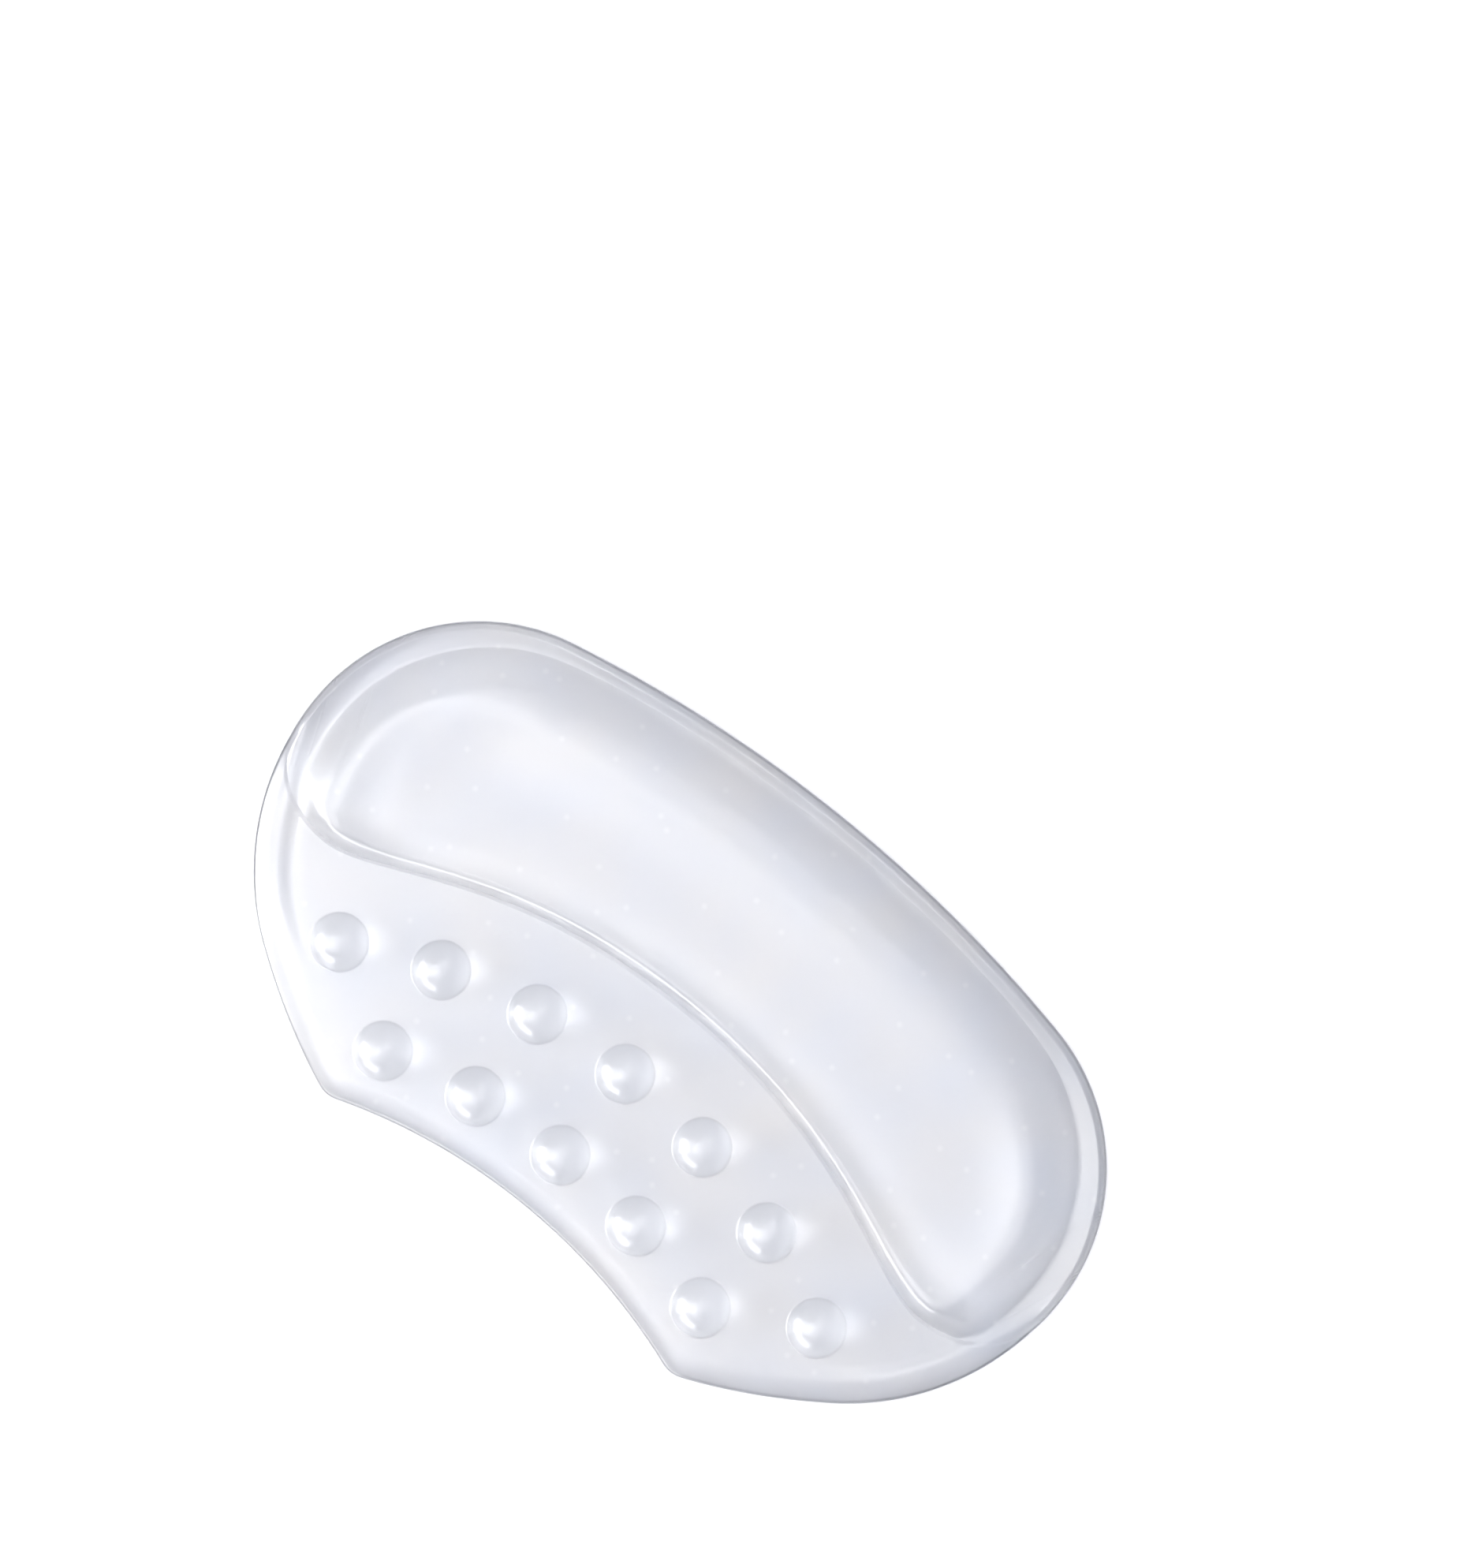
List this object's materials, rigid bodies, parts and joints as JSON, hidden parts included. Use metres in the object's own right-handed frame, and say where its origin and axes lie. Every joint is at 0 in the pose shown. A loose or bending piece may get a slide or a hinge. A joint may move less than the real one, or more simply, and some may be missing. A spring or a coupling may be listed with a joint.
{
  "type": "silicone heel grip",
  "caption": "Clear silicone gel pad for the inside back of a shoe: a thin kidney-shaped film with a raised crescent cushion and rows of round massage domes.",
  "frame": {"origin": "middle of the flat back's bounding box, on the back's plane", "axes": "+X along the pad's length, +Y from the notched edge to the crown that the cushion runs along, +Z out of the back through the cushion"},
  "size_m": [0.095, 0.0534, 0.0039],
  "materials": {
    "clear_silicone": "clear gloss gel"
  },
  "bodies": {
    "root": {"gel_pad": "clear_silicone"}
  },
  "joints": []
}
